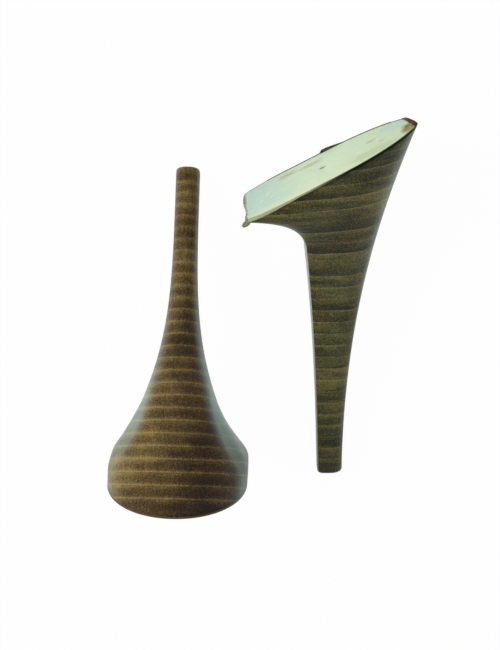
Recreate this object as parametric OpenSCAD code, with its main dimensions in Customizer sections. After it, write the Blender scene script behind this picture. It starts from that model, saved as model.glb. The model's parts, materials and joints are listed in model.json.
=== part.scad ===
// Pair of stiletto shoe heels covered in stacked leather, laid out as a pair:
// the left one lies on its breast with its back up, the right one on its side.
// In a heel's own frame Z runs from the tip to the seat and X points to the back.

/* [Heel] */
// Height from the tip to the back of the seat
heel_h = 110; // [95:1:120]
// Depth of the tip, front to back
tip_d = 7.7; // [7:0.1:10]
// Width of the tip
tip_w = 7.3; // [6.4:0.1:9]
// Width of the seat at its widest
seat_w = 41.8; // [36:0.1:46]
// Reach of the seat's back edge behind the tip's centre
seat_back = 26.1; // [22:0.1:28]
// Reach of the seat's front lip ahead of the tip's centre
seat_lip = 25.6; // [22:0.1:28]
// Drop of the front lip below the back of the seat
seat_drop = 26.3; // [24:0.1:30]
// Swell of the back line low on the shaft
back_low = 0.3; // [0:0.1:1.5]
// Pull of the back line below the seat, behind the tip's centre
back_high = 10.4; // [8:0.1:12]
// Swell of the front line low on the shaft
front_low = 0.4; // [0:0.1:1]
// Swell of the front line high on the shaft
front_high = 1.4; // [0.5:0.1:2]
// Swell of the front line where the breast leaves the shaft
front_top = 4.1; // [3:0.1:6]
// Drop from the lip to where the breast leaves the shaft
breast_drop = 10.9; // [8:0.1:12]
// Pull of the breast's curve at each end
breast_pull = 8; // [6:0.5:9]
// Height of the lip's blunt front face
lip_t = 1.1; // [0.6:0.1:1.6]

/* [Section] */
// Where the section is widest, as a share of its depth
wide_at = 0.49; // [0.4:0.01:0.55]
// Width of the flat breast, as a share of the widest
breast_share = 0.84; // [0.8:0.01:0.95]
// Sharpness of the corner between side and breast, larger is sharper
breast_corner = 7; // [4:0.5:10]
// Squareness of the round back, 2 is an ellipse
back_square = 2.05; // [2:0.05:2.6]
// Height at which the heel reaches its full width, as a share
flare_full = 0.94; // [0.92:0.01:1]
// How late the flare starts, larger is later
flare_late = 2.15; // [1.8:0.05:2.3]

/* [Veneer] */
// Thickness of the leather veneer
veneer_t = 0.7; // [0.5:0.05:0.8]
// Bare edge of the core between the leather and the breast
veneer_stop = 0.3; // [0.2:0.1:1]
// Bond line between leather and core, and between strips
bond_t = 0.05; // [0.03:0.01:0.08]
// Height of the lowest strip, at the tip
strip_low = 5; // [4:0.1:6]
// Height of the top strip, at the back of the seat
strip_top = 5.9; // [5:0.1:7]
// Height of a strip near the seat against one near the tip
strip_grow = 1.15; // [1:0.05:1.4]
// Slope of the strips under the seat, rising to the back
strip_slope = 5; // [0:0.5:8]
// Height at which the strips start to slope
slope_start = 55; // [45:1:65]
// Rise over which they reach their full slope
slope_run = 44; // [35:1:50]

/* [Core] */
// Outer diameter of the steel tube in the shaft
tube_od = 4; // [3.6:0.1:4.2]
// Bore of the tube, for the pin of a top lift
tube_bore = 2.8; // [2.4:0.1:3]
// Length of the tube from the tip
tube_l = 70; // [50:1:72]
// Clearance of the tube in its hole, on the diameter
tube_clear = 0.04; // [0.02:0.01:0.1]
// Diameter of the pilot hole for the seat screw
pilot_d = 2.5; // [2:0.1:3.5]
// Depth of the pilot hole, square to the seat
pilot_l = 15; // [10:1:16]
// Distance of the pilot hole from the lip, along the seat
pilot_at = 26; // [24:1:32]

/* [Layout] */
// Sideways distance from the left tip to the right tip
pair_across = 43.5; // [42:0.1:70]
// Lengthways distance from the left tip to the right tip
pair_along = 93.1; // [85:0.1:100]
// Turn of the left heel on the table
left_turn = 1.4; // [0:0.1:3]
// Roll of the right heel on its side, towards its back
right_roll = 2.5; // [0:0.1:3]

/* [Hidden] */
strip_n = 28;
around_n = 21;
shaft_n = 18;
flare_n = 14;
eps = 0.01;
$fn = 64;
back_share = 0.6;
inner_t = veneer_t + bond_t;
lip_h = heel_h - seat_drop;
breast_h = lip_h - breast_drop;
shaft_share = breast_h / heel_h;
lip_share = 1 - lip_t / heel_h;
seat_slope = atan2(seat_drop, seat_back + seat_lip);

// Control values of the two lines that bound the heel in side view
back_line = [tip_d / 2, tip_d / 2 + back_low, back_high, seat_back];
shaft_line = [for (swell = [0, front_low, front_high, front_top]) -tip_d / 2 - swell];
shaft_end = [shaft_line[3], breast_h];
shaft_run = [3 * (shaft_line[3] - shaft_line[2]), breast_h];
shaft_dir = shaft_run / norm(shaft_run);
breast_end = [-seat_lip, lip_h - lip_t];
breast_line = [shaft_end, shaft_end + shaft_dir * breast_pull, breast_end + [breast_pull, 0], breast_end];

function bezier(p, s) = pow(1 - s, 3) * p[0] + 3 * pow(1 - s, 2) * s * p[1]
    + 3 * (1 - s) * s * s * p[2] + pow(s, 3) * p[3];

// Back and front of the section at a share t of the height, as [x, z]
function back_at(t) = [bezier(back_line, t), t * heel_h];
function front_at(t) = t <= shaft_share
    ? [bezier(shaft_line, t / shaft_share), t * heel_h]
    : t <= lip_share
    ? bezier(breast_line, (t - shaft_share) / (lip_share - shaft_share))
    : [-seat_lip, lip_h - (1 - t) * heel_h];
function half_width(t) = tip_w / 2
    + (seat_w - tip_w) / 2 * pow(sin(90 * pow(min(1, t / flare_full), flare_late)), 2);

// Section as [depth, side] for u from -1 to 1, round the back from one breast edge to the other
function section_round(a) = [wide_at + (1 - wide_at) * pow(cos(90 * a), 2 / back_square),
    pow(sin(90 * a), 2 / back_square)];
function section_side(s) = [wide_at * (1 - s), 1 - (1 - breast_share) * pow(s, breast_corner)];
function section(u) = abs(u) <= back_share
    ? section_round(abs(u) / back_share)
    : section_side(1 - pow((1 - abs(u)) / (1 - back_share), 2));

// Point of the heel's skin, set in by a depth below the leather's face
function skin(t, u, inset = 0) = let (
        f = front_at(t),
        run = back_at(t) - f,
        s = section(u),
        p = f + run * s[0] * (1 - inset / norm(run))
    ) [p[0], sign(u) * s[1] * (half_width(t) - inset), p[1]];

// Height of the line above strip k at the back, and that line's slope
function line_h(k) = let (s = (k - 1) / (strip_n - 2), swell = (strip_grow - 1) / 2)
    strip_low + (heel_h - strip_low - strip_top) * s * (1 + swell * s) / (1 + swell);
function line_slope(k) = strip_slope * max(0, min(1, (line_h(k) - slope_start) / slope_run));

// How far a point of the skin lies above that line
function above_line(k, t, u) = let (h = line_h(k), q = skin(t, u))
    q[2] - h - tan(line_slope(k)) * (q[0] - back_at(h / heel_h)[0]);
function line_t(k, u, lo = 0, hi = 1, n = 16) = let (mid = (lo + hi) / 2)
    n == 0 ? mid : above_line(k, mid, u) > 0 ? line_t(k, u, lo, mid, n - 1) : line_t(k, u, mid, hi, n - 1);

// How far round the heel strip k reaches before it runs out at the seat
function rim_u(k, lo = 0, hi = 1, n = 16) = let (mid = (lo + hi) / 2)
    n == 0 ? lo : above_line(k, 1, mid) > 0 ? rim_u(k, mid, hi, n - 1) : rim_u(k, lo, mid, n - 1);
function strip_reach(k) = k == 1 || above_line(k - 1, 1, 1) > 0.3 ? 1 : 0.985 * rim_u(k - 1);
function strip_from(k, u) = k == 1 ? 0 : line_t(k - 1, u) + bond_t / 2 / heel_h;
function strip_to(k, u) = k == strip_n ? 1 : min(1, line_t(k, u) - bond_t / 2 / heel_h);
function strip_rows(k) = line_h(max(1, k - 1)) > breast_h - breast_pull ? 3 : 1;

// Share of the way from a strip's lower to its upper edge at row r, with a row where the lip's face starts
function row_share(lo, hi, r, rows) = let (bend = (lip_share - lo) / (hi - lo))
    bend < 0.2 || bend > 1 ? r / (rows - 1) : r == rows - 1 ? 1 : bend * r / (rows - 2);

// How far round the leather goes at a share t of the height, short of the breast
function veneer_reach(t) = let (side = wide_at * norm(back_at(t) - front_at(t)))
    1 - (1 - back_share) * sqrt(veneer_stop / side);
function edge_reach(k, t) = min(strip_reach(k), veneer_reach(t));
function strip_name(side, k) = str(side, "_strip_", k < 10 ? "0" : "", k);

// Two triangles for each quad between neighbouring rows of m points
function quads(rows, m, first, flip) = [for (r = [0 : rows - 2], i = [0 : m - 2])
    let (a = first + r * m + i, b = a + 1, c = a + m, d = c + 1)
        each flip ? [[a, b, c], [b, d, c]] : [[a, c, b], [b, c, d]]];

// Edge band between two rows of the outer and inner faces
function band(a, b, flip) = [for (i = [0 : len(a) - 2])
    each flip ? [[a[i], b[i], a[i + 1]], [a[i + 1], b[i], b[i + 1]]]
              : [[a[i], a[i + 1], b[i]], [a[i + 1], b[i + 1], b[i]]]];

module strip_solid(k) {
    m = around_n;
    rows = strip_rows(k) + 1;
    shares = [for (i = [0 : m - 1]) 2 * i / (m - 1) - 1];
    low_u = edge_reach(k, k == 1 ? 0 : line_h(k - 1) / heel_h) * shares;
    high_u = edge_reach(k, k == strip_n ? 1 : line_h(k) / heel_h) * shares;
    lows = [for (u = low_u) [strip_from(k, u), u]];
    highs = [for (u = high_u) [strip_to(k, u), u]];
    spots = [for (r = [0 : rows - 1], i = [0 : m - 1])
        lows[i] + (highs[i] - lows[i]) * row_share(lows[i][0], highs[i][0], r, rows)];
    outer = [for (s = spots) skin(s[0], s[1])];
    inner = [for (s = spots) skin(s[0], s[1], veneer_t)];
    n = rows * m;
    low = [for (i = [0 : m - 1]) i];
    high = [for (i = [0 : m - 1]) n - m + i];
    start = [for (r = [0 : rows - 1]) r * m];
    stop = [for (r = [0 : rows - 1]) r * m + m - 1];
    polyhedron(concat(outer, inner), concat(
        quads(rows, m, 0, false),
        quads(rows, m, n, true),
        band(low, [for (i = low) i + n], false),
        band(high, [for (i = high) i + n], true),
        band(start, [for (i = start) i + n], true),
        band(stop, [for (i = stop) i + n], false)));
}

module core_solid() {
    m = around_n;
    ts = concat([for (j = [0 : shaft_n - 1]) shaft_share * j / shaft_n],
        [for (j = [0 : flare_n]) shaft_share + (lip_share - shaft_share) * j / flare_n], [1]);
    rows = len(ts);
    points = [for (t = ts, i = [0 : m - 1]) skin(t, 2 * i / (m - 1) - 1, inner_t)];
    top = (rows - 1) * m;
    breast = [for (r = [0 : rows - 2]) let (a = r * m + m - 1, b = r * m, c = a + m, d = b + m)
        each [[a, c, b], [b, c, d]]];
    polyhedron(points, concat(
        quads(rows, m, 0, false),
        breast,
        [for (i = [1 : m - 2]) [0, i, i + 1]],
        [for (i = [1 : m - 2]) [top, top + i + 1, top + i]]));
}

// Frame of the pilot hole: on the seat, with Z out of the plastic
module at_pilot() {
    translate([-seat_lip, 0, lip_h])
        rotate([0, -seat_slope, 0])
            translate([pilot_at, 0, 0])
                children();
}

module core() {
    color("honeydew")
        difference() {
            core_solid();
            translate([0, 0, -eps])
                cylinder(d = tube_od + tube_clear, h = tube_l + eps);
            at_pilot()
                translate([0, 0, -pilot_l])
                    cylinder(d = pilot_d, h = pilot_l + 1);
        }
}

module tube() {
    color("silver")
        difference() {
            cylinder(d = tube_od, h = tube_l);
            translate([0, 0, -eps])
                cylinder(d = tube_bore, h = tube_l + 2 * eps);
        }
}

module strip(k, tone) {
    color(tone)
        strip_solid(k);
}

// Resting poses: the left heel on its lip and tip, the right heel on its side and tip
function turn_x(q, a) = [q[0], q[1] * cos(a) - q[2] * sin(a), q[1] * sin(a) + q[2] * cos(a)];
function turn_z(q, a) = [q[0] * cos(a) - q[1] * sin(a), q[0] * sin(a) + q[1] * cos(a), q[2]];
outline = [for (t = [0 : 0.02 : 1], u = [-1 : 0.1 : 1]) skin(t, u)];
left_tilt = atan2(seat_lip - tip_d / 2, lip_h - lip_t);
left_lift = tip_d / 2 * cos(left_tilt);
rolled = [for (q = outline) turn_z(q, right_roll)];
tip_side = max([for (q = rolled) if (q[2] == 0) q[1]]);
right_tilt = atan(max([for (q = rolled) if (q[2] > 0) (q[1] - tip_side) / q[2]]));
right_lift = tip_side * cos(right_tilt);
function left_pose(q) = turn_z(turn_x(turn_z(q, 90), 90 - left_tilt), -left_turn) + [0, 0, left_lift];
function right_pose(q) = turn_x(turn_z(q, right_roll), right_tilt - 90)
    + [pair_across, -pair_along, right_lift];
placed = concat([for (q = outline) left_pose(q)], [for (q = outline) right_pose(q)]);
xs = [for (q = placed) q[0]];
ys = [for (q = placed) q[1]];
middle = [(min(xs) + max(xs)) / 2, (min(ys) + max(ys)) / 2, 0];

module left_heel() {
    translate([0, 0, left_lift] - middle)
        rotate([0, 0, -left_turn])
            rotate([90 - left_tilt, 0, 0])
                rotate([0, 0, 90])
                    children();
}

module right_heel() {
    translate([pair_across, -pair_along, right_lift] - middle)
        rotate([right_tilt - 90, 0, 0])
            rotate([0, 0, right_roll])
                children();
}

function strip_names(side) = [for (k = [1 : strip_n]) strip_name(side, k)];

left_heel() core();  // left_core
left_heel() tube();  // left_tube
for (k = [1 : strip_n])
    left_heel() strip(k, k % 2 == 0 ? "saddlebrown" : "sienna");
right_heel() core();  // right_core
right_heel() tube();  // right_tube
for (k = [1 : strip_n])
    right_heel() strip(k, k % 2 == 0 ? "darkolivegreen" : "saddlebrown");
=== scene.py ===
import json
import math
import random
import bpy
from mathutils import Matrix, Vector


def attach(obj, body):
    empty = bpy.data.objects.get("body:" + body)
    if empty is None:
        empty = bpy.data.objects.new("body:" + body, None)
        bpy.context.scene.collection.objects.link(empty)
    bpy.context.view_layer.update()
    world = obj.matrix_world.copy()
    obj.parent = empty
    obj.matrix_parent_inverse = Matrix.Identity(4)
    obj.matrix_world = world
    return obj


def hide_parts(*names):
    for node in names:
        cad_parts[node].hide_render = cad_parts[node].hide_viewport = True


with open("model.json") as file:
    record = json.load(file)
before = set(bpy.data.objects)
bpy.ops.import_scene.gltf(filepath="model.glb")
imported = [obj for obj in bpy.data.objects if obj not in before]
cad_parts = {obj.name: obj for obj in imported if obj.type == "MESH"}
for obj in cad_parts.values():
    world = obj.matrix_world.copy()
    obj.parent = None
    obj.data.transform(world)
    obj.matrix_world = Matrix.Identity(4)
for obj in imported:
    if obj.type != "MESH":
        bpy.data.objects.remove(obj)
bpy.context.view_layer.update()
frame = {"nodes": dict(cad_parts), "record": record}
mm = 0.001
random.seed(7)
print("frame loaded,", len(frame["nodes"]), "nodes")

heel = {  # the heel's sizes in mm, as its solids have them
    "height": 110.0, "tipDepth": 7.7, "tipWidth": 7.3, "seatWidth": 41.8,
    "seatBack": 26.1, "seatLip": 25.6, "seatDrop": 26.3, "lipFace": 1.1,
    "breastDrop": 10.9, "breastPull": 8.0, "breastShare": 0.84, "breastCorner": 7.0,
    "backLow": 0.3, "backHigh": 10.4, "backSquare": 2.05,
    "frontLow": 0.4, "frontHigh": 1.4, "frontTop": 4.1,
    "wideAt": 0.49, "flareFull": 0.94, "flareLate": 2.15,
    "tipRound": 1.0,  # soft corner where the tip was sanded
}
veneer = {  # mm, the number of strips and the lean of their lines in degrees
    "thick": 0.7, "stop": 0.3, "bond": 0.05, "strips": 28, "low": 5.0, "top": 5.9, "grow": 1.15,
    "slope": 5.0, "slopeStart": 55.0, "slopeRun": 44.0,
}
mesh = {  # how finely surfaces are divided, how far they run on, and how near counts as touching
    "round": 96, "side": 12, "tip": (0, 0.08, 0.25, 0.5, 1), "shaft": 40, "flare": 44, "hole": 48,
    "shellOver": 0.03, "coreOver": 0.02, "near": 0.001, "touch": 1e-7,
    "flatTurn": 0.999, "flatNear": 0.01,
}
softness = {  # mm of rounding
    "strip": 0.05, "core": 0.12, "patch": 0.08, "rim": 0.06, "flap": 0.1, "lip": 0.15,
}
lipHeight = heel["height"] - heel["seatDrop"]
breastHeight = lipHeight - heel["breastDrop"]
shaftShare = breastHeight / heel["height"]
lipShare = 1 - heel["lipFace"] / heel["height"]
seatSlope = math.atan2(heel["seatDrop"], heel["seatBack"] + heel["seatLip"])
seatPoint = Vector((-heel["seatLip"], 0, lipHeight))
seatNormal = Vector((-math.sin(seatSlope), 0, math.cos(seatSlope)))
seatAlong = Vector((math.cos(seatSlope), 0, math.sin(seatSlope)))


def bezier(points, s):
    a, b, c, d = (Vector(p) if hasattr(p, "__len__") else p for p in points)
    return a * (1 - s) ** 3 + b * (3 * (1 - s) ** 2 * s) + c * (3 * (1 - s) * s * s) + d * s ** 3


def backAt(t):
    half = heel["tipDepth"] / 2
    out = bezier((half, half + heel["backLow"], heel["backHigh"], heel["seatBack"]), t)
    return Vector((out, t * heel["height"]))


def frontAt(t):
    half = heel["tipDepth"] / 2
    swells = [-half - swell for swell in (0, heel["frontLow"], heel["frontHigh"], heel["frontTop"])]
    if t <= shaftShare:
        return Vector((bezier(swells, t / shaftShare), t * heel["height"]))
    if t > lipShare:  # up the lip's blunt face
        return Vector((-heel["seatLip"], lipHeight - (1 - t) * heel["height"]))
    start = Vector((swells[3], breastHeight))
    end = Vector((-heel["seatLip"], lipHeight - heel["lipFace"]))
    run = Vector((3 * (swells[3] - swells[2]), breastHeight)).normalized() * heel["breastPull"]
    pull = Vector((heel["breastPull"], 0))
    return bezier((start, start + run, end + pull, end), (t - shaftShare) / (lipShare - shaftShare))


def halfWidthAt(t):
    flare = math.sin(math.pi / 2 * min(1, t / heel["flareFull"]) ** heel["flareLate"]) ** 2
    return heel["tipWidth"] / 2 + (heel["seatWidth"] - heel["tipWidth"]) / 2 * flare


def ringAt(t, inset, stop):  # front point, lean, depth and half width of one section, in metres
    front, back = frontAt(t), backAt(t)
    run = back - front
    rise = min(t * heel["height"], heel["tipRound"])
    sanded = heel["tipRound"] - math.sqrt(heel["tipRound"] ** 2 - (heel["tipRound"] - rise) ** 2)
    start = front + run.normalized() * (stop + sanded)
    return {
        "front": Vector((start.x, 0, start.y)) * mm, "lean": math.atan2(run.y, run.x),
        "depth": (run.length - inset - stop - 2 * sanded) * mm,
        "half": (halfWidthAt(t) - inset - sanded) * mm,
    }


def heights(overrun):  # closer together where the tip and the breast turn
    tip = [heel["tipRound"] / heel["height"] * s for s in mesh["tip"]]
    shaft = [tip[-1] + (shaftShare - tip[-1]) * s / mesh["shaft"] for s in range(1, mesh["shaft"] + 1)]
    flare = [shaftShare + (lipShare - shaftShare) * s / mesh["flare"] for s in range(1, mesh["flare"] + 1)]
    return tip + shaft + flare + [1 + overrun]


def deselect():
    if bpy.context.object and bpy.context.object.mode != "OBJECT":
        bpy.ops.object.mode_set(mode="OBJECT")
    bpy.ops.object.select_all(action="DESELECT")


def choose(piece):
    deselect()
    piece.select_set(True)
    bpy.context.view_layer.objects.active = piece


def edit(piece, kind="VERT"):
    choose(piece)
    bpy.ops.object.mode_set(mode="EDIT")
    bpy.ops.mesh.select_mode(type=kind)
    bpy.ops.mesh.select_all(action="SELECT")


def pick(piece, kind, test):  # selects the vertices, edges or faces that pass a test of their place
    bpy.ops.mesh.select_mode(type=kind)
    bpy.ops.mesh.select_all(action="DESELECT")
    bpy.ops.object.mode_set(mode="OBJECT")
    parts = {"VERT": piece.data.vertices, "EDGE": piece.data.edges, "FACE": piece.data.polygons}[kind]
    for part in parts:
        part.select = test(part)
    bpy.ops.object.mode_set(mode="EDIT")


def copyOf(piece, name):
    twin = piece.copy()
    twin.data = piece.data.copy()
    twin.name = name
    bpy.context.collection.objects.link(twin)
    return twin


def finishWith(piece, kind, **settings):
    choose(piece)
    made = piece.modifiers.new(kind.title(), kind)
    for key, value in settings.items():
        setattr(made, key, value)
    bpy.ops.object.modifier_apply(modifier=made.name)


def softEdges(piece, width, segments=2, angle=50):  # rounds the edges that are sharper than an angle
    finishWith(piece, "BEVEL", width=width * mm, segments=segments, limit_method="ANGLE",
               angle_limit=math.radians(angle))


def smoothOver(piece, angle=35):
    choose(piece)
    bpy.ops.object.shade_smooth_by_angle(angle=math.radians(angle))


def cutAway(piece, point, normal, fill=True):  # takes off what lies on the normal's side
    edit(piece)
    bpy.ops.mesh.bisect(plane_co=point * mm, plane_no=normal, use_fill=fill, clear_outer=True,
                        threshold=mesh["touch"])
    bpy.ops.object.mode_set(mode="OBJECT")


def outward(piece):  # turns the faces to the outside
    edit(piece)
    bpy.ops.mesh.normals_make_consistent(inside=False)
    bpy.ops.object.mode_set(mode="OBJECT")


def settle(piece):  # writes the piece's turn and place into its points
    choose(piece)
    bpy.ops.object.transform_apply(location=True, rotation=True, scale=True)


def joinTo(piece, *others):
    choose(piece)
    for other in others:
        other.select_set(True)
    bpy.ops.object.join()
    return piece


def remove(*pieces):
    for piece in pieces:
        bpy.data.objects.remove(piece, do_unlink=True)


def fillOut(piece, turn):  # the round is a little fuller than an ellipse
    x, y, power = math.cos(turn), math.sin(turn), heel["backSquare"]
    full = (x ** power + y ** power) ** (-1 / power)
    pick(piece, "VERT", lambda v: abs(abs(v.co.y) - y) < mesh["near"] and abs(v.co.x - x) < mesh["near"])
    bpy.ops.transform.resize(value=(full, full, 1), center_override=(0, 0, 0))


def startOutline(name, ring, closed):  # the tip's outline: a round back, then two sides to the breast
    deselect()
    bpy.ops.mesh.primitive_circle_add(vertices=mesh["round"], radius=1, fill_type="NOTHING")
    piece = bpy.context.object
    piece.name = name
    wide = heel["wideAt"] * ring["depth"]
    edit(piece)
    pick(piece, "VERT", lambda v: v.co.x < -mesh["near"])
    bpy.ops.mesh.delete(type="VERT")
    for s in range(1, mesh["round"] // 4):
        fillOut(piece, math.tau * s / mesh["round"])
    bpy.ops.mesh.select_all(action="SELECT")
    bpy.ops.transform.resize(value=(ring["depth"] - wide, ring["half"], 1), center_override=(0, 0, 0))
    pick(piece, "VERT", lambda v: v.co.x < ring["depth"] * mesh["near"])  # the round's two ends
    shares = [1 - (1 - s / mesh["side"]) ** 2 for s in range(mesh["side"] + 1)]  # closer at the corner
    sides = [1 - (1 - heel["breastShare"]) * share ** heel["breastCorner"] for share in shares]
    for s in range(mesh["side"]):
        forward = -wide * (shares[s + 1] - shares[s])
        bpy.ops.mesh.extrude_region_move(TRANSFORM_OT_translate={"value": (forward, 0, 0)})
        bpy.ops.transform.resize(value=(1, sides[s + 1] / sides[s], 1), center_override=(0, 0, 0))
    if closed:
        bpy.ops.mesh.edge_face_add()
    bpy.ops.mesh.select_all(action="SELECT")
    bpy.ops.transform.translate(value=ring["front"] + Vector((wide, 0, 0)))
    return piece


def loft(name, inset, stop, closed, overrun):
    rings = [ringAt(t, inset, stop) for t in heights(overrun)]
    piece = startOutline(name, rings[0], closed)
    for here, there in zip(rings, rings[1:]):
        grow = (there["depth"] / here["depth"], there["half"] / here["half"], 1)
        bpy.ops.mesh.extrude_edges_move(TRANSFORM_OT_translate={"value": (0, 0, 0)})
        bpy.ops.transform.rotate(value=-here["lean"], orient_axis="Y", center_override=here["front"])
        bpy.ops.transform.resize(value=grow, center_override=here["front"])
        bpy.ops.transform.rotate(value=there["lean"], orient_axis="Y", center_override=here["front"])
        bpy.ops.transform.translate(value=there["front"] - here["front"])
    bpy.ops.object.mode_set(mode="OBJECT")
    outward(piece)
    rear = max(piece.data.polygons, key=lambda face: face.center.x)
    if rear.normal.x < 0:
        edit(piece)
        bpy.ops.mesh.flip_normals()
        bpy.ops.object.mode_set(mode="OBJECT")
    return piece


def lineAt(k):  # the plane between strip k and the next one towards the seat
    s = (k - 1) / (veneer["strips"] - 2)
    swell = (veneer["grow"] - 1) / 2
    reach = heel["height"] - veneer["low"] - veneer["top"]
    height = veneer["low"] + reach * s * (1 + swell * s) / (1 + swell)
    lean = min(1, max(0, (height - veneer["slopeStart"]) / veneer["slopeRun"]))
    lean = math.radians(veneer["slope"] * lean)
    back = backAt(height / heel["height"])
    return Vector((back.x, 0, back.y)), Vector((-math.sin(lean), 0, math.cos(lean)))


marks = {"lastShare": 0.6, "proud": 0.05, "proudShare": 0.5}  # no pale line at the seat, nor past it


def mark(piece, name, kind, values):  # stores one value per point for the finishes
    layer = piece.data.attributes.get(name) or piece.data.attributes.new(name, kind, "POINT")
    for slot, value in zip(layer.data, values):
        if kind == "FLOAT":
            slot.value = value
        else:
            slot.vector = value


def markStrip(piece, k, tone):  # how far each point lies from its strip's lower line to its upper one
    spots = [vert.co / mm for vert in piece.data.vertices]
    (low, lowWay), (high, highWay) = lineAt(k - 1), lineAt(k)
    most = marks["lastShare"] if k == veneer["strips"] else 1
    across = []
    for spot in spots:
        below, above = max(0, (spot - low).dot(lowWay)), max(0, (high - spot).dot(highWay))
        share = min(below / max(1e-6, below + above), most)
        across.append(share if (spot - seatPoint).dot(seatNormal) < marks["proud"] else marks["proudShare"])
    mark(piece, "spot", "FLOAT_VECTOR", spots)
    mark(piece, "across", "FLOAT", across)
    mark(piece, "tone", "FLOAT", [tone] * len(spots))


def placeOf(side):  # the heel's own frame on the table, from its mounts
    mounts = {mount["name"]: mount for mount in frame["record"]["mounts"]}
    pin, seat = mounts[side + "_tip_pin"], mounts[side + "_seat"]
    up = -Vector(pin["axis"])
    back = (up * math.cos(seatSlope) - Vector(seat["axis"])) / math.sin(seatSlope)
    place = Matrix((back, up.cross(back), up)).transposed().to_4x4()
    place.translation = Vector(pin["pos_m"]) - up * pin["dims"]["length_mm"] / 2 * mm
    return place


def setDown(piece, side, node, slot, finish):  # moves a finished piece to its place on the table
    piece.matrix_world = placeOf(side)
    settle(piece)
    piece.data.materials.clear()
    piece.data.materials.append(finish)
    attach(piece, "root")
    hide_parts(node)


class Wire:  # a shader socket that takes Python's operators
    def __init__(self, tree, socket=None):
        self.tree, self.socket = tree, socket

    def node(self, kind, settings=None, values=None, give=0):
        made = self.tree.nodes.new("ShaderNode" + kind)
        for key, value in (settings or {}).items():
            if key == "stops":
                self.setStops(made.color_ramp.elements, value)
            else:
                setattr(made, key, value)
        for key, value in (values or {}).items():
            if isinstance(value, Wire):
                self.tree.links.new(value.socket, made.inputs[key])
            else:
                made.inputs[key].default_value = value
        return Wire(self.tree, made.outputs[give] if len(made.outputs) else None)

    def setStops(self, stops, colours):  # spreads the colours evenly over a ramp
        stops[0].color, stops[-1].color = colours[0], colours[-1]
        for k in range(1, len(colours) - 1):
            stops.new(k / (len(colours) - 1)).color = colours[k]

    def math(self, operation, *terms):
        return self.node("Math", {"operation": operation}, dict(enumerate(terms)))

    def __add__(self, other):
        return self.math("ADD", self, other)

    def __sub__(self, other):
        return self.math("SUBTRACT", self, other)

    def __rsub__(self, other):
        return self.math("SUBTRACT", other, self)

    def __mul__(self, other):
        return self.math("MULTIPLY", self, other)

    __radd__, __rmul__ = __add__, __mul__

    def most(self, other):
        return self.math("MAXIMUM", self, other)

    def least(self, other):
        return self.math("MINIMUM", self, other)

    def size(self):
        return self.math("ABSOLUTE", self)

    def step(self, low, high):  # 0 below low, 1 above high, smooth between
        made = {"Value": self, "From Min": low, "From Max": high}
        return self.node("MapRange", {"interpolation_type": "SMOOTHSTEP"}, made)

    def dot(self, way, start=(0, 0, 0)):  # how far a spot lies along a direction
        made = self.node("VectorMath", {"operation": "DOT_PRODUCT"}, {0: self, 1: tuple(way)}, "Value")
        return made - Vector(way).dot(Vector(start))

    def stretched(self, scale, shift=(0, 0, 0)):
        return self.node("Mapping", None, {"Vector": self, "Scale": scale, "Location": shift})

    def noise(self, scale, detail=2.0, rough=0.5, swirl=0.0):  # swings about 0
        made = {"Vector": self, "Scale": scale, "Detail": detail, "Roughness": rough, "Distortion": swirl}
        return self.node("TexNoise", None, made, "Fac") - 0.5

    def between(self, first, second, mask):  # runs from one colour to another
        return self.node("Mix", {"data_type": "RGBA"}, {0: mask, 6: first, 7: second}, 2)

    def toward(self, other, mask):  # mixes a colour towards another
        return self.between(self, other, mask)

    def dyed(self, other, mask):  # multiplies a colour by another
        made = {"data_type": "RGBA", "blend_type": "MULTIPLY"}
        return self.node("Mix", made, {0: mask, 6: self, 7: other + (1,)}, 2)

    def ramp(self, colours, share):
        return self.node("ValToRGB", {"stops": [tint(*colour) for colour in colours]}, {"Fac": share})

    def attribute(self, name, give):
        return self.node("Attribute", {"attribute_name": name}, None, give)

    def rays(self, *kinds):  # whether a ray is of each kind
        return [self.node("LightPath", None, None, "Is %s Ray" % kind) for kind in kinds]


def tint(red, green, blue):  # from a screen's levels to light
    parts = [part / 255 for part in (red, green, blue)]
    return tuple(((p + 0.055) / 1.055) ** 2.4 if p > 0.04045 else p / 12.92 for p in parts) + (1.0,)


def newFinish(name):
    finish = bpy.data.materials.new(name)
    finish.use_nodes = True
    finish.node_tree.nodes.clear()
    return finish, Wire(finish.node_tree)


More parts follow.
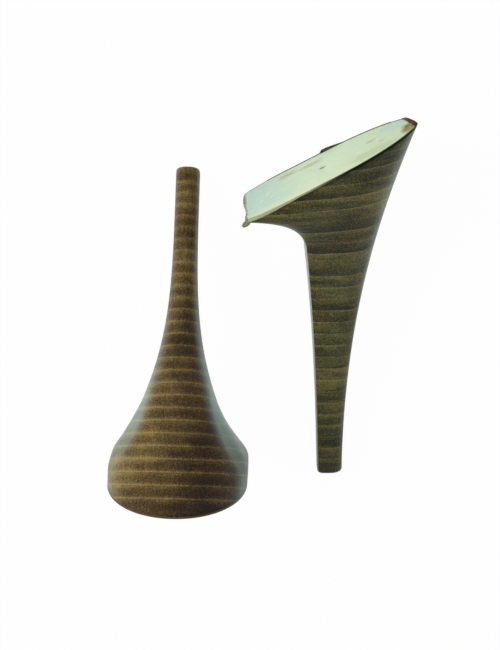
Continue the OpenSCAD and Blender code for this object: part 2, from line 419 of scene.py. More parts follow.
leftLook = {
    "shift": (0, 0, 0),
    "dye": [(37, 28, 21), (53, 39, 27), (75, 57, 34), (99, 79, 45), (123, 101, 56), (148, 127, 80)],
    "wearAndPaintedLight": 0.43, "lineWorn": 0.44, "startWorn": 0.2, "lowWorn": 0.06,
    "lineFrom": 0.64, "lineCrisp": 0.84, "lineLow": 0.65, "startTo": 0.45, "ripple": 0.08,
    # the side spread paints light and shade across the heel's back; the middle and rim darkening are
    # painted shade
    "paintedSideLight": 0.52, "toneSpread": 0.1, "cloudSpread": 0.5, "fibreSpread": 0.4,
    "lastDark": 0.13, "endDark": 0.12, "paintedMidShade": 0.11, "rimShadeDepth": 0.1, "rimReach": 1.2,
    "bandStretch": (0.1, 0.1, 0.3), "bandSwirl": 0.6, "bandSpread": 0.6,
    "poreScale": 2.2, "poreSpread": 1.1,
    "warm": (1.1, 0.97, 0.86), "cool": (0.89, 1.03, 1.08), "hueSpread": 0.6, "coolEnds": 0.0,
    "rawNear": (84, 74, 50), "rawBack": (84, 74, 50), "rawFar": (84, 74, 50),
    "backShade": 0.0, "rimShade": (32, 32, 18),
    "turned": [(50, 32, 18), (104, 76, 52), (114, 90, 64)],
    "turnedNear": (58, 44, 24), "turnedFar": (116, 98, 76),
    "flesh": [(104, 104, 80), (150, 150, 118), (186, 188, 160)],
    "rough": 0.55, "specular": 0.15, "coat": 0.2, "coatFade": 0.7, "coatRough": 0.3, "bump": 0.3,
    "gloss": 0.38, "glossTint": (0.71, 1.0, 0.93), "glossRough": 0.5, "glossFrom": 0.26, "glossTo": 0.75,
    "glossLow": 0.15, "glossRise": (38, 88), "glossFade": 0.92, "glossFar": 0.75, "glossLean": 0.07,
    "glossMost": 0.33, "glossSink": 0.58, "earGloss": 0.24,
}
rightLook = {
    **leftLook, "shift": (40, 90, 13),
    "dye": [(41, 43, 34), (57, 56, 40), (76, 72, 44), (95, 89, 52), (112, 105, 63), (128, 121, 82)],
    "wearAndPaintedLight": 0.32, "lineWorn": 0.36, "startWorn": -0.06, "lowWorn": 0.05,
    "lineFrom": 0.42, "lineLow": 1.0, "startTo": 0.4, "ripple": 0.14,
    "paintedSideLight": 0.0, "toneSpread": 0.45, "fibreSpread": 0.15,
    "lastDark": 0.0, "endDark": 0.0, "paintedMidShade": 0.0, "rimShadeDepth": 0.2, "rimReach": 2.4,
    "bandStretch": (0.08, 0.08, 0.5), "bandSwirl": 0.7, "bandSpread": 1.0, "poreSpread": 1.5,
    "hueSpread": 1.0, "coolEnds": 1.0,
    "rawNear": (172, 176, 134), "rawBack": (44, 46, 28), "rawFar": (60, 50, 36), "backShade": 1.0,
    "gloss": 0.13, "glossTint": (0.74, 1.0, 0.9), "glossRough": 0.35, "glossFrom": 0.5, "glossTo": 0.95,
    "glossLow": 0.5, "glossRise": (25, 65), "glossFade": 0.0, "glossFar": 1.0, "glossLean": 0.0,
    "earGloss": 0.0,
}
grain = {  # how fine the leather's marks are, per mm, and how they are weighed
    "ripple": 0.8, "cloud": 0.08, "drift": 0.16, "fibre": (1.6, 1.6, 0.14), "gritFiner": 2.2,
    "poreRough": 0.7, "bandRough": 0.55, "fibreRough": 0.6, "gritShare": 0.8, "bandLine": 0.5,
    "softTo": 0.97, "crispTo": 0.95, "softShare": 0.55, "startFray": 0.2,
    "driftFull": 0.2, "topCool": 0.1, "shaftCool": 0.05, "speckle": 2.5, "lastNear": 0.2,
    "flesh": (0.2, 0.4), "over": (0.7, 0.9), "unwaxed": (0.1, 0.3), "overNear": 0.85, "overFar": 0.8,
    "bumpDeep": 0.00015, "bumpFibre": 0.5, "bumpPore": 0.8, "bumpLine": 0.2, "poreGloss": 0.4,
    "facing": 0.5, "earFacing": (0.2, 0.5),
}
zones = {  # mm where the leather's look changes: up from the tip, to the far side, along and over the seat
    "lineRise": (15, 60), "lowRise": (50, 26),
    "midRise": (46, 58), "midFall": (86, 72), "midAside": (6, -4),
    "lastRise": (90, 104), "lastAside": (-10, 10), "endRise": (101, 108),
    "coolTop": (84, 100), "coolShaft": (76, 60),
    "nearSide": (6, -6), "farSide": (-6, 6), "paintedLightAcross": (-18, 18),
    "rimTop": -0.3, "rimEnd": (0.05, 0.2), "rimFray": 1.2, "rimAlong": (8, 32),
    "underStart": (-1.3, -0.6), "underEnd": (-0.45, -0.3), "underFray": 0.5,
    "rawStart": (-0.5, -0.35), "rawEnd": (0.04, 0.08), "rawFray": 0.3, "rawDeeper": 0.5, "rawLip": (20, 2),
    "rawAlong": (14, 34), "rawAside": (-2, 6),
    "shadeStart": (-0.9, -0.55), "shadeEnd": (-0.15, 0), "shadeFray": 0.5, "shadeAlong": (20, 38),
    "turnedNear": (0, -7), "turnedFar": (4, 10),
    "coatRise": (62, 88), "glossFall": (82, 96), "sinkRise": (76, 92),
    "earFrom": 9, "earWider": 10, "earWiden": (78, 96), "earEdge": (-2, 4), "earRise": (60, 74),
}


class Hide:  # what the leather's finish reads at each point
    def __init__(self, wire, look):
        true = wire.attribute("spot", "Vector")
        spot = true.stretched((1, 1, 1), look["shift"])
        self.wire, self.spot = wire, spot
        self.across, self.tone, fold = (wire.attribute(key, "Fac") for key in ("across", "tone", "fold"))
        self.aside, self.rise = true.dot((0, 1, 0)), true.dot((0, 0, 1))
        self.rim, self.along = true.dot(seatNormal, seatPoint), true.dot(seatAlong, seatPoint)
        self.ripple, self.cloud = spot.noise(grain["ripple"], 3), spot.noise(grain["cloud"], 2)
        self.pore = spot.noise(look["poreScale"], 2, grain["poreRough"])
        self.grit = spot.noise(look["poreScale"] * grain["gritFiner"], 1)
        self.band = spot.stretched(look["bandStretch"]).noise(1.0, 3, grain["bandRough"], look["bandSwirl"])
        self.fibre = spot.stretched(grain["fibre"]).noise(1.0, 3, grain["fibreRough"])
        self.flesh, self.over = fold.step(*grain["flesh"]), fold.step(*grain["over"])
        self.waxed = 1 - fold.step(*grain["unwaxed"])
        self.markLines(look)
        self.markRim(look)

    def markLines(self, look):  # the pale line at each strip's end
        edge = self.across + self.ripple * look["ripple"]
        soft = edge.step(look["lineFrom"], grain["softTo"]) * grain["softShare"]
        line = soft + edge.step(look["lineCrisp"], grain["crispTo"]) * (1 - grain["softShare"])
        self.line = line * (look["lineLow"] + (1 - look["lineLow"]) * self.rise.step(*zones["lineRise"]))
        self.start = 1 - (self.across + self.ripple * grain["startFray"]).step(0.0, look["startTo"])

    def beside(self, fray, start, end):  # between two distances from the seat, with a frayed start
        return (self.rim + self.ripple * fray).step(*start) * (1 - self.rim.step(*end))

    def markRim(self, look):  # dark, raw and shaded stretches beside the seat: painted shade under the near rim, a painted black shadow band at the back, and the raw cut edge
        near = self.aside.step(*zones["nearSide"])
        reach = (-look["rimReach"], zones["rimTop"])
        nearRim = self.beside(zones["rimFray"], reach, zones["rimEnd"]) * near
        underRim = self.beside(zones["underFray"], zones["underStart"], zones["underEnd"]) * near
        # painted shade: darker bands on the near side just under the seat's rim, the wider one fading in
        # from the lip
        self.paintedRimShade = nearRim * self.along.step(*zones["rimAlong"]) + underRim
        raw = self.rim + self.ripple * zones["rawFray"]
        raw = raw + zones["rawDeeper"] * self.along.step(*zones["rawLip"])
        self.rawEdge = raw.step(*zones["rawStart"]) * (1 - self.rim.step(*zones["rawEnd"]))
        shade = self.beside(zones["shadeFray"], zones["shadeStart"], zones["shadeEnd"]) * near
        self.shade = shade * self.along.step(*zones["shadeAlong"]) * look["backShade"]

    def wearAndPaintedLight(self, look):  # how far the dye is worn, with painted light and shade added, from the darkest colour to the palest
        wearAndPaintedLight = look["wearAndPaintedLight"] + self.line * look["lineWorn"] + self.start * look["startWorn"]
        wearAndPaintedLight = wearAndPaintedLight + (self.tone - 0.5) * look["toneSpread"] + self.cloud * look["cloudSpread"]
        wearAndPaintedLight = wearAndPaintedLight + self.band * look["bandSpread"] * (1 - grain["bandLine"] * self.line)
        wearAndPaintedLight = wearAndPaintedLight + self.fibre * look["fibreSpread"]
        wearAndPaintedLight = wearAndPaintedLight + (self.pore + self.grit * grain["gritShare"]) * look["poreSpread"]
        # painted light and shade: the heel's back paler towards the far side and darker towards the near
        # side
        wearAndPaintedLight = wearAndPaintedLight + (self.aside.step(*zones["paintedLightAcross"]) - 0.5) * look["paintedSideLight"]
        # the rim term is painted shade; the low term pales the leather towards the tip
        wearAndPaintedLight = wearAndPaintedLight - self.paintedRimShade * look["rimShadeDepth"] + self.rise.step(*zones["lowRise"]) * look["lowWorn"]
        last = grain["lastNear"] + (1 - grain["lastNear"]) * self.aside.step(*zones["lastAside"])
        wearAndPaintedLight = wearAndPaintedLight - self.rise.step(*zones["lastRise"]) * last * look["lastDark"]
        wearAndPaintedLight = wearAndPaintedLight - self.rise.step(*zones["endRise"]) * look["endDark"]
        # painted shade: the middle of the heel's height darker towards the near side
        middle = self.rise.step(*zones["midRise"]) * self.rise.step(*zones["midFall"])
        return wearAndPaintedLight - middle * self.aside.step(*zones["midAside"]) * look["paintedMidShade"]

    def colour(self, look):
        colour = self.wire.ramp(look["dye"], self.wearAndPaintedLight(look))
        cooler = grain["topCool"] * self.rise.step(*zones["coolTop"])
        cooler = cooler + grain["shaftCool"] * self.rise.step(*zones["coolShaft"])
        drift = self.spot.noise(grain["drift"], 2) - cooler * look["coolEnds"]
        colour = colour.dyed(look["warm"], drift.step(0, grain["driftFull"]) * look["hueSpread"])
        colour = colour.dyed(look["cool"], (0 - drift).step(0, grain["driftFull"]) * look["hueSpread"])
        toBack, toFar = self.along.step(*zones["rawAlong"]), self.aside.step(*zones["rawAside"])
        raw = self.wire.between(tint(*look["rawNear"]), tint(*look["rawBack"]), toBack)
        colour = colour.toward(raw.toward(tint(*look["rawFar"]), toFar), self.rawEdge)
        colour = colour.toward(tint(*look["rimShade"]), self.shade)
        flesh = self.wire.ramp(look["flesh"], 0.5 + self.pore * grain["speckle"] + self.ripple)
        return colour.toward(flesh, self.flesh).toward(self.turned(look), self.over)

    def turned(self, look):  # the leather folded over the seat
        colour = self.wire.ramp(look["turned"], 0.5 + self.pore * grain["speckle"] + self.cloud)
        near, far = self.aside.step(*zones["turnedNear"]), self.aside.step(*zones["turnedFar"])
        colour = colour.toward(tint(*look["turnedNear"]), near * grain["overNear"])
        return colour.toward(tint(*look["turnedFar"]), far * grain["overFar"])

    def sheen(self, look):  # how much the rubbed wax mirrors the room, most at a glance
        facing = self.wire.node("LayerWeight", None, {"Blend": grain["facing"]}, "Facing")
        rubbed = look["glossLow"] + (1 - look["glossLow"]) * self.rise.step(*look["glossRise"])
        rubbed = rubbed - look["glossFade"] * self.rise.step(*zones["glossFall"])
        glance = facing + look["glossLean"] * self.aside.step(*zones["nearSide"])
        shine = glance.step(look["glossFrom"], look["glossTo"]) * look["gloss"]
        shine = shine * rubbed * self.waxed * (1 - self.shade)
        shine = shine * (1 - (1 - look["glossFar"]) * self.aside.step(*zones["farSide"]))
        inner = zones["earFrom"] + zones["earWider"] * self.rise.step(*zones["earWiden"])
        ears = (self.aside.size() - inner).step(*zones["earEdge"]) * self.rise.step(*zones["earRise"])
        shine = shine + ears * facing.step(*grain["earFacing"]) * look["earGloss"] * self.waxed
        return shine.least(look["glossMost"] * (1 - look["glossSink"] * self.rise.step(*zones["sinkRise"])))


def leather(name, look):
    finish, wire = newFinish(name)
    hide = Hide(wire, look)
    colour = hide.colour(look)
    height = hide.fibre * grain["bumpFibre"] + hide.pore * grain["bumpPore"] - hide.line * grain["bumpLine"]
    bump = wire.node("Bump", None, {
        "Strength": look["bump"], "Distance": grain["bumpDeep"], "Height": height})
    coat = look["coat"] * hide.waxed * (1 - hide.shade)
    skin = wire.node("BsdfPrincipled", None, {
        "Base Color": colour, "Roughness": look["rough"] - grain["poreGloss"] * hide.pore, "Normal": bump,
        "Specular IOR Level": look["specular"], "Coat Roughness": look["coatRough"],
        "Coat Weight": coat * (1 - look["coatFade"] * hide.rise.step(*zones["coatRise"]))})
    gloss = wire.node("BsdfPrincipled", None, {
        "Base Color": look["glossTint"] + (1,), "Metallic": 1.0, "Roughness": look["glossRough"]})
    matte = wire.node("BsdfDiffuse", None, {"Color": colour, "Normal": bump})
    skin = wire.node("MixShader", None, {0: hide.shade + hide.over, 1: skin, 2: matte})
    shader = wire.node("MixShader", None, {0: hide.sheen(look), 1: skin, 2: gloss})
    wire.node("OutputMaterial", None, {"Surface": shader})
    return finish


seatLook = {
    "lip": (178, 206, 194), "seat": (206, 222, 192), "rear": (198, 216, 177), "rearShare": 0.85,
    "pale": (220, 233, 212), "paleShare": 0.6, "dim": (191, 210, 178), "dimShare": 0.45,
    "cream": (222, 224, 188), "creamShare": 0.6, "breast": (172, 181, 168),
    "lipEdge": (130, 132, 108), "lipEdgeShare": 0.9,
    "tan": (172, 176, 122), "ochre": (146, 136, 76), "umber": (92, 74, 26),
    "grey": (140, 160, 142), "cool": (182, 212, 202),
    "cloud": 0.12, "mottle": 0.45, "fine": 2.4, "ragged": 2.2,
    "rough": 0.6, "roughSpread": 0.2, "specular": 0.3, "bump": 0.35, "bumpDeep": 0.0003,
    "bumpMottle": 0.5, "bumpFine": 0.25,
    "glow": 0.15, "glowRadius": (1.0, 1.0, 0.8), "glowDeep": 0.001,
    "stains": [  # place along the seat and to the far side, size, colour, strength
        ((14.4, 13.6), (3.2, 3.0), "tan", 0.8), ((22.6, 12.0), (4.2, 2.4), "tan", 0.65),
        ((42.2, 2.8), (2.0, 1.5), "grey", 0.6), ((45.3, -3.5), (1.2, 1.2), "grey", 0.3),
        ((50.5, 8.0), (6.0, 6.0), "cool", 0.7), ((41.7, -12.0), (8.0, 5.0), "tan", 0.35),
        ((54.3, -5.0), (2.8, 6.6), "ochre", 1.0), ((55.3, 0.9), (1.1, 2.2), "umber", 1.0),
        ((55.6, -3.1), (1.0, 2.6), "umber", 0.9), ((54.1, -1.5), (0.9, 2.2), "umber", 0.8),
        ((53.2, -4.6), (0.7, 2.0), "umber", 0.4)],
}
leftSeat = {
    **seatLook,
    "stains": [((19.0, -8.0), (3.6, 2.8), "tan", 0.6), ((38.0, 7.5), (2.2, 1.8), "grey", 0.4)],
}
seatZones = {  # mm along the seat from its lip, to its far side and over its plane, and the fraying
    "seatEdge": (-0.6, -0.05), "lipRun": (0, 24), "lipFray": 16,
    "rearRun": (26, 54), "rearFray": 14, "rearLean": 0.5,
    "creamAside": (-11, -19), "creamFray": 10, "creamAlong": (46, 30), "creamEndFray": 8,
    "paleFrom": (0.05, 0.22), "dimFrom": (0.06, 0.22), "stainEdge": (0.0, 1.5),
    "lipEdgeRun": (0.1, 0.7), "lipEdgeFray": 1.2, "lipEdgeRise": (-2.2, -1.0),
}


def seatColour(wire, look, along, aside, cloud, mottle):  # the bare plastic under its stains
    toSeat = (along + cloud * seatZones["lipFray"]).step(*seatZones["lipRun"])
    colour = wire.between(tint(*look["lip"]), tint(*look["seat"]), toSeat)
    rear = along + cloud * seatZones["rearFray"] - aside * seatZones["rearLean"]
    colour = colour.toward(tint(*look["rear"]), rear.step(*seatZones["rearRun"]) * look["rearShare"])
    colour = colour.toward(tint(*look["pale"]), mottle.step(*seatZones["paleFrom"]) * look["paleShare"])
    colour = colour.toward(tint(*look["dim"]), (0 - mottle).step(*seatZones["dimFrom"]) * look["dimShare"])
    cream = (aside + cloud * seatZones["creamFray"]).step(*seatZones["creamAside"])
    cream = cream * (along + cloud * seatZones["creamEndFray"]).step(*seatZones["creamAlong"])
    return colour.toward(tint(*look["cream"]), cream * look["creamShare"])


def plastic(name, look):
    finish, wire = newFinish(name)
    spot = wire.attribute("spot", "Vector")
    along, aside = spot.dot(seatAlong, seatPoint), spot.dot((0, 1, 0))
    rim = spot.dot(seatNormal, seatPoint)
    cloud, mottle = spot.noise(look["cloud"], 3), spot.noise(look["mottle"], 4, 0.6)
    fine = spot.noise(look["fine"], 3, 0.6)
    onSeat = rim.step(*seatZones["seatEdge"])
    colour = seatColour(wire, look, along, aside, cloud, mottle)
    for (atAlong, atAside), (longWay, wideWay), key, strength in look["stains"]:
        ahead, across = (along - atAlong) * (1 / longWay), (aside - atAside) * (1 / wideWay)
        reach = (ahead * ahead + across * across) + mottle * look["ragged"]
        inside = 1 - reach.step(*seatZones["stainEdge"])
        colour = colour.toward(tint(*look[key]), inside * strength * onSeat)
    colour = colour.toward(tint(*look["breast"]), 1 - onSeat)
    lipEdge = 1 - (along + mottle * seatZones["lipEdgeFray"]).step(*seatZones["lipEdgeRun"])
    lipEdge = lipEdge * rim.step(*seatZones["lipEdgeRise"])
    colour = colour.toward(tint(*look["lipEdge"]), lipEdge * look["lipEdgeShare"])
    height = mottle * look["bumpMottle"] + fine * look["bumpFine"]
    bump = wire.node("Bump", None, {
        "Strength": look["bump"], "Distance": look["bumpDeep"], "Height": height})
    shader = wire.node("BsdfPrincipled", None, {
        "Base Color": colour, "Roughness": look["rough"] + look["roughSpread"] * mottle, "Normal": bump,
        "Specular IOR Level": look["specular"], "Subsurface Weight": look["glow"],
        "Subsurface Radius": look["glowRadius"], "Subsurface Scale": look["glowDeep"]})
    wire.node("OutputMaterial", None, {"Surface": shader})
    return finish


steelLook = {
    "steel": (150, 152, 150), "bright": (188, 190, 188), "dull": (120, 112, 100), "dullShare": 0.5,
    "stretch": (2500, 120, 2500), "drawnFrom": (-0.15, 0.15), "rust": 900, "rustFrom": (0.06, 0.22),
    "rough": 0.42, "roughSpread": 0.2, "bump": 0.25, "bumpDeep": 0.0001,
}


def steel(name, look):
    finish, wire = newFinish(name)
    spot = wire.node("TexCoord", None, None, "Object")
    drawn = spot.stretched(look["stretch"]).noise(1.0, 3, 0.6)
    rust = spot.noise(look["rust"], 3, 0.6)
    colour = wire.between(tint(*look["steel"]), tint(*look["bright"]), drawn.step(*look["drawnFrom"]))
    colour = colour.toward(tint(*look["dull"]), rust.step(*look["rustFrom"]) * look["dullShare"])
    bump = wire.node("Bump", None, {
        "Strength": look["bump"], "Distance": look["bumpDeep"], "Height": drawn})
    shader = wire.node("BsdfPrincipled", None, {
        "Base Color": colour, "Metallic": 1.0, "Roughness": look["rough"] + look["roughSpread"] * rust,
        "Normal": bump})
    wire.node("OutputMaterial", None, {"Surface": shader})
    return finish


def wrapVeneer():
    skin = loft("veneerShell", 0, veneer["stop"], False, mesh["shellOver"])
    finishWith(skin, "SOLIDIFY", thickness=veneer["thick"] * mm, offset=-1, use_even_offset=True)
    print("veneer wrapped,", len(skin.data.vertices), "points")
    return skin


def cutStrips():
    made, rest = [], copyOf(shell, "veneerRest")
    cutAway(rest, seatPoint, seatNormal)
    for k in range(1, veneer["strips"] + 1):
        strip = copyOf(rest, "strip%02d" % k)
        if k < veneer["strips"]:
            point, way = lineAt(k)
            cutAway(strip, point, way)
            cutAway(rest, point, -way)
        softEdges(strip, softness["strip"])
        smoothOver(strip)
        made.append(strip)
    remove(rest)
    print("strips cut,", sum(len(strip.data.polygons) for strip in made), "faces")
    return made


fittings = {  # mm: the tube's hole, the pilot hole and its place from the lip
    "tubeHole": 4.04, "tubeDeep": 70.0, "pilot": 2.5, "pilotDeep": 15.0, "pilotAt": 26.0,
    "clear": 1.0,  # how far a drill stands out of the hole's mouth
}


def drill(piece, wide, deep, mouth, way):  # a round hole from its mouth down into the piece
    deselect()
    middle = mouth - way * (deep - fittings["clear"]) / 2
    bpy.ops.mesh.primitive_cylinder_add(
        vertices=mesh["hole"], radius=wide / 2 * mm, depth=(deep + fittings["clear"]) * mm,
        location=middle * mm, rotation=way.to_track_quat("Z", "Y").to_euler())
    bit = bpy.context.object
    finishWith(piece, "BOOLEAN", object=bit, operation="DIFFERENCE", solver="EXACT")
    remove(bit)


def mouldCore():
    made = loft("core", veneer["thick"] + veneer["bond"], 0, True, mesh["coreOver"])
    edit(made)
    pick(made, "VERT", lambda v: v.co.z < mesh["touch"])  # closes the tip
    bpy.ops.mesh.edge_face_add()
    bpy.ops.object.mode_set(mode="OBJECT")
    cutAway(made, seatPoint, seatNormal)
    outward(made)
    pilotMouth = seatPoint + seatAlong * fittings["pilotAt"]
    drill(made, fittings["tubeHole"], fittings["tubeDeep"], Vector((0, 0, 0)), Vector((0, 0, -1)))
    drill(made, fittings["pilot"], fittings["pilotDeep"], pilotMouth, seatNormal)
    softEdges(made, softness["core"])
    smoothOver(made)
    print("core drilled,", len(made.data.polygons), "faces")
    return made


shell = wrapVeneer()
strips = cutStrips()
core = mouldCore()

trims = {  # what was left untrimmed on the right heel: mm along the seat from its lip, and to its far side
    "patchFar": (53.4, 11.6), "patchNear": (56.3, -8.0), "patchThick": 0.15,
    "patchLumps": 0.1, "patchLumpSize": 0.9,
    "patchGrid": 0.7, "patchRows": (1, 7), "patchColumns": (-14, 20),
    "bluntSeat": 55.7, "bluntBack": 1.3, "bluntLean": 0.06,
    "tabFrom": 26.0, "tabTo": 35.0, "tabAside": 19.0, "tabHigh": 0.85, "tabRise": 40.0, "tabFall": 7.6,
    "sliverFrom": 8.0, "sliverTo": 50.0, "sliverHigh": 0.13,
    "flapRoot": (0.9, -17.5, -0.6), "flapWay": (-0.86, -0.1, -0.5), "flapSteps": 12,
    "flapLong": 2.7, "flapWide": 1.7, "flapThick": 0.35, "flapCurl": 50.0,
    "flapLeaf": (0.13, 0.79, 0.7),  # where the leaf shape starts, how much of it there is, how full
    "lipThick": 0.7, "lipHigh": 1.2, "lipBack": 0.3, "lipSteps": 28,
    "lipWave": 0.3, "lipLong": (0.3, 2.6), "lipShort": (1.7, 0.2),  # the waves' pace, start and share
}


def seatSpot(along, aside, rise=0):
    return seatPoint + seatAlong * along + Vector((0, aside, 0)) + seatNormal * rise


def split(point, normal):  # cuts the faces along a plane and keeps both sides
    bpy.ops.mesh.select_all(action="SELECT")
    bpy.ops.mesh.bisect(plane_co=point * mm, plane_no=normal, threshold=mesh["touch"])


bluntFrom, bluntEnd = seatSpot(trims["bluntSeat"], 0), backAt(1 - trims["bluntBack"] / heel["height"])
bluntRun = Vector((bluntEnd.x, 0, bluntEnd.y)) - bluntFrom
bluntWay = Vector((-bluntRun.z, 0, bluntRun.x)).normalized()  # out of the blunt back edge of the seat
bluntWay = (bluntWay + Vector((0, trims["bluntLean"], 0))).normalized()


def liesOn(face, spot, way):  # whether a face lies in a plane
    away = (face.center / mm - spot).dot(way)
    return face.normal.dot(way) > mesh["flatTurn"] and abs(away) < mesh["flatNear"]


def foldedPatch():  # the leather's end, turned over the blunt back of the seat and glued down
    patch = loft("foldedPatch", 0, 0, True, mesh["coreOver"])
    cutAway(patch, seatPoint, seatNormal)
    cutAway(patch, bluntFrom, bluntWay)
    edit(patch)
    flats = [(seatPoint, seatNormal), (bluntFrom, bluntWay)]
    pick(patch, "FACE", lambda face: not any(liesOn(face, *flat) for flat in flats))
    bpy.ops.mesh.delete(type="FACE")
    far, near = seatSpot(*trims["patchFar"]), seatSpot(*trims["patchNear"])
    inward = -seatNormal.cross(near - far).normalized()
    cutAway(patch, far, inward, fill=False)
    edit(patch)
    for s in range(*trims["patchRows"]):
        split(far - inward * trims["patchGrid"] * s, inward)
    for s in range(*trims["patchColumns"]):
        split(seatSpot(0, trims["patchGrid"] * s), Vector((0, 1, 0)))
    bpy.ops.object.mode_set(mode="OBJECT")
    lumps = bpy.data.textures.new("leatherLumps", "CLOUDS")
    lumps.noise_scale = trims["patchLumpSize"] * mm
    finishWith(patch, "DISPLACE", texture=lumps, strength=2 * trims["patchLumps"] * mm)
    finishWith(patch, "SOLIDIFY", thickness=trims["patchThick"] * mm, offset=1)
    softEdges(patch, softness["patch"], angle=60)
    mark(patch, "fold", "FLOAT", [1.0] * len(patch.data.vertices))  # 1 is leather turned over
    return patch


def proudEdge(name):  # the far half of the veneer that stands past the seat
    edge = copyOf(shell, name)
    cutAway(edge, seatPoint, -seatNormal)
    cutAway(edge, Vector((0, 0, 0)), Vector((0, -1, 0)))
    return edge


def rimTab():  # a tab and a thin sliver of veneer that stand up from the far rim
    tab, sliver = proudEdge("rimTab"), proudEdge("rimSliver")
    rise, fall = math.radians(trims["tabRise"]), math.radians(trims["tabFall"])
    cutAway(tab, seatSpot(trims["tabFrom"], 0), seatNormal * math.cos(rise) - seatAlong * math.sin(rise))
    cutAway(tab, seatSpot(trims["tabTo"], 0), seatNormal * math.cos(fall) + seatAlong * math.sin(fall))
    cutAway(tab, seatSpot(0, 0, trims["tabHigh"]), seatNormal)
    cutAway(sliver, seatSpot(trims["sliverFrom"], 0), -seatAlong)
    cutAway(sliver, seatSpot(trims["sliverTo"], 0), seatAlong)
    cutAway(sliver, seatSpot(0, 0, trims["sliverHigh"]), seatNormal)
    for edge in (tab, sliver):
        softEdges(edge, softness["rim"])
    return joinTo(tab, sliver)


def startEdge(size, turn, middle, test):  # one edge of a square, to be drawn out into a sheet
    deselect()
    bpy.ops.mesh.primitive_plane_add(size=size * mm, rotation=turn, location=middle * mm)
    piece = bpy.context.object
    edit(piece)
    pick(piece, "VERT", test)
    bpy.ops.mesh.delete(type="VERT")
    bpy.ops.mesh.select_all(action="SELECT")
    return piece


def cornerFlap():  # a curled scrap at the near corner of the lip
    way, curlTo = Vector(trims["flapWay"]).normalized(), Vector((0, -1, 0))
    across = way.cross(curlTo).normalized()
    turn = Matrix((way, across, way.cross(across))).transposed().to_euler()
    spot, steps = seatPoint + Vector(trims["flapRoot"]), trims["flapSteps"]
    middle = spot + way * trims["flapWide"] / 2
    flap = startEdge(trims["flapWide"], turn, middle, lambda v: v.co.x > 0)
    start, share, full = trims["flapLeaf"]
    widths = [math.sin(math.pi * (start + share * s / steps)) ** full for s in range(steps + 1)]
    bpy.ops.transform.resize(value=(widths[0], widths[0], widths[0]), center_override=spot * mm)
    for s in range(steps):
        bend = math.radians(trims["flapCurl"]) * (s / steps) ** 2
        move = (way * math.cos(bend) + curlTo * math.sin(bend)) * trims["flapLong"] / steps
        spot = spot + move
        bpy.ops.mesh.extrude_edges_move(TRANSFORM_OT_translate={"value": move * mm})
        grow = widths[s + 1] / widths[s]
        bpy.ops.transform.resize(value=(grow, grow, grow), center_override=spot * mm)
    bpy.ops.object.mode_set(mode="OBJECT")
    finishWith(flap, "SOLIDIFY", thickness=trims["flapThick"] * mm, offset=0)
    softEdges(flap, softness["flap"])
    settle(flap)
    mark(flap, "fold", "FLOAT", [0.5] * len(flap.data.vertices))  # a half is the flesh side
    return flap


def lipTrim():  # the rough edge of lining left along the lip
    half, high, steps = heel["seatWidth"] / 2 * heel["breastShare"], trims["lipHigh"], trims["lipSteps"]
    turn = Matrix(((0, 0, 1), (0, 1, 0), (-1, 0, 0))).transposed().to_euler()
    start = seatPoint + Vector((trims["lipBack"], half + high / 2, -high / 2))
    lip = startEdge(high, turn, start, lambda v: v.co.y > 0)
    (pace, begin), (quick, share) = trims["lipLong"], trims["lipShort"]
    waves = [math.sin(s * pace + begin) + share * math.sin(s * quick) for s in range(steps + 1)]
    for s in range(steps):
        wave = trims["lipWave"] * waves[s + 1] - trims["lipWave"] * waves[s]
        move = Vector((wave, -2 * half / steps, 0))
        bpy.ops.mesh.extrude_edges_move(TRANSFORM_OT_translate={"value": move * mm})
    bpy.ops.object.mode_set(mode="OBJECT")
    finishWith(lip, "SOLIDIFY", thickness=trims["lipThick"] * mm, offset=0)
    softEdges(lip, softness["lip"], segments=3)
    settle(lip)
    return lip


def stripAt(spot):  # number of the strip that a point lies in
    return 1 + sum((spot - lineAt(k)[0]).dot(lineAt(k)[1]) > 0 for k in range(1, veneer["strips"]))


tabSpot = seatSpot((trims["tabFrom"] + trims["tabTo"]) / 2, trims["tabAside"])
extras = {veneer["strips"]: foldedPatch(), stripAt(tabSpot): rimTab(), stripAt(seatPoint): cornerFlap()}
print("trims made for strips", sorted(extras))

tones = {  # how pale a strip is, and the right heel's strips that stand out
    "usual": (0.3, 0.7), "least": 0.18, "most": 0.85,
    "dark": (3, 15, 18, 20, 22), "pale": (8, 9, 19, 23, 24),
}


def toneOf(side, k):
    usual = random.uniform(*tones["usual"])
    if side == "right" and k in tones["dark"]:
        return tones["least"]
    return tones["most"] if side == "right" and k in tones["pale"] else usual


def dressStrips(side, skin):
    for k, strip in enumerate(strips, 1):
        piece = copyOf(strip, "%sStrip%02d" % (side, k))
        if side == "right" and k == veneer["strips"]:
            cutAway(piece, bluntFrom, bluntWay)
        if side == "right" and k in extras:
            piece = joinTo(piece, extras[k])
            smoothOver(piece)
        markStrip(piece, k, toneOf(side, k))
        setDown(piece, side, "%s_strip_%02d" % (side, k), side + "_leather", skin)


def dressCore(side, bare):
    body = copyOf(core, side + "Core")
    if side == "right":
        cutAway(body, bluntFrom, bluntWay)
        body = joinTo(body, lipTrim())
        smoothOver(body)
    mark(body, "spot", "FLOAT_VECTOR", [vert.co / mm for vert in body.data.vertices])
    setDown(body, side, side + "_core", "core_plastic", bare)


tubeSteel = steel("tubeSteel", steelLook)
for side, look, seat in (("left", leftLook, leftSeat), ("right", rightLook, seatLook)):
    skin, bare = leather(side + "Leather", look), plastic(side + "CorePlastic", seat)
    dressStrips(side, skin)
    dressCore(side, bare)
    tube = frame["nodes"][side + "_tube"]
    tube.data.materials.clear()
    tube.data.materials.append(tubeSteel)
    print(side, "heel dressed")
remove(core, shell, *strips)

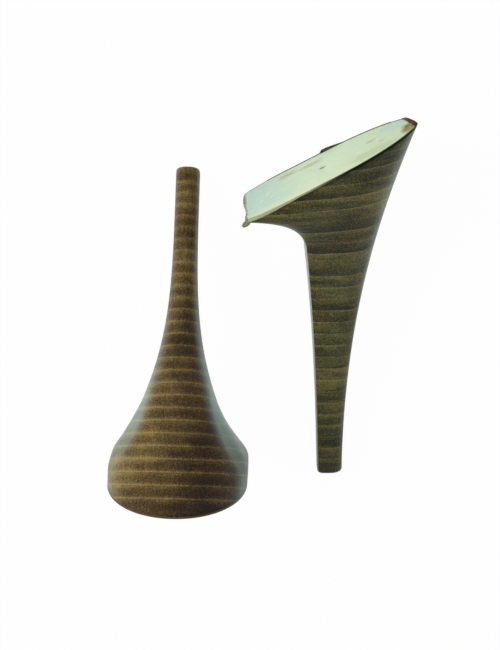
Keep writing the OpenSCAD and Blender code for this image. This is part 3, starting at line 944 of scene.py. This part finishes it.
view = {  # mm, degrees, and the photo's rows per mm at the aim
    "aim": (-4.32, -6.37, 0.0), "away": 713.0, "pitch": 4.62, "sway": 1.13, "focal": 3.227,
    "rows": 650, "sensor": 24, "clip": (0.01, 50),
}
pitch, sway = math.radians(view["pitch"]), math.radians(view["sway"])
toward = Vector((math.sin(sway) * math.cos(pitch), math.sin(pitch), math.cos(pitch) * math.cos(sway)))
toward = toward.normalized()
rightWay = Vector((math.cos(sway), 0, -math.sin(sway)))
upWay = toward.cross(rightWay)
lens = bpy.data.cameras.new("photoView")
eye = bpy.data.objects.new("photoView", lens)
bpy.context.collection.objects.link(eye)
stand = Matrix((rightWay, upWay, toward)).transposed().to_4x4()
stand.translation = (Vector(view["aim"]) + toward * view["away"]) * mm
eye.matrix_world = stand
lens.sensor_fit, lens.sensor_height = "VERTICAL", view["sensor"]
lens.lens = view["focal"] * view["away"] / view["rows"] * view["sensor"]
lens.clip_start, lens.clip_end = view["clip"]
bpy.context.scene.camera = eye
print("camera set")

light = {  # metres and watts
    "floor": (0.93, 0.95, 0.93), "floorGlow": 0.97, "floorWide": 6, "floorDrop": 0.0002,
    "roomLow": (0.5, 0.53, 0.51), "roomHigh": (0.08, 0.08, 0.08), "roomTurn": (0.2, 0.9),
    "lamps": [("leftBox", (-1.2, 0.2, 0.8), 1.0, 13.0), ("rightBox", (1.2, 0.1, 0.8), 1.0, 2.5),
              ("rearBox", (0.0, 1.2, 0.8), 0.9, 4.0), ("frontBox", (0.3, -1.2, 0.9), 1.0, 6.0)],
}
plainWhite = (1, 1, 1, 1)


def layFloor():  # paper that shows white and still bounces light
    deselect()
    bpy.ops.mesh.primitive_plane_add(size=light["floorWide"], location=(0, 0, -light["floorDrop"]))
    floor = bpy.context.object
    floor.name = "paleFloor"
    finish, wire = newFinish("palePaper")
    camera, glossy, through = wire.rays("Camera", "Glossy", "Transmission")
    shown = camera.most(glossy.most(through)) * light["floorGlow"]
    paper = wire.node("BsdfDiffuse", None, {"Color": light["floor"] + (1,)})
    glow = wire.node("Emission", None, {"Color": plainWhite, "Strength": 1.0})
    shader = wire.node("MixShader", None, {0: shown, 1: paper, 2: glow})
    wire.node("OutputMaterial", None, {"Surface": shader})
    floor.data.materials.append(finish)


def fillRoom():  # a dim room, darker above, that shows white
    world = bpy.data.worlds.new("softRoom")
    bpy.context.scene.world = world
    world.use_nodes = True
    world.node_tree.nodes.clear()
    wire = Wire(world.node_tree)
    camera, through = wire.rays("Camera", "Transmission")
    upward = wire.node("TexCoord", None, None, "Generated").dot((0, 0, 1)).step(*light["roomTurn"])
    room = wire.between(light["roomLow"] + (1,), light["roomHigh"] + (1,), upward)
    room = wire.node("Background", None, {"Color": room, "Strength": 1.0})
    white = wire.node("Background", None, {"Color": plainWhite, "Strength": 1.0})
    shader = wire.node("MixShader", None, {0: camera.most(through), 1: room, 2: white})
    wire.node("OutputWorld", None, {"Surface": shader})


layFloor()
fillRoom()
for name, place, size, power in light["lamps"]:
    lamp = bpy.data.lights.new(name, "AREA")
    lamp.energy, lamp.shape, lamp.size = power, "DISK", size
    softbox = bpy.data.objects.new(name, lamp)
    bpy.context.collection.objects.link(softbox)
    softbox.location = place
    softbox.visible_glossy = False  # the room and the floor are what the leather mirrors
    softbox.rotation_euler = Vector(place).to_track_quat("Z", "Y").to_euler()
print("lights set")

settings = bpy.context.scene.view_settings
settings.view_transform = "Standard"
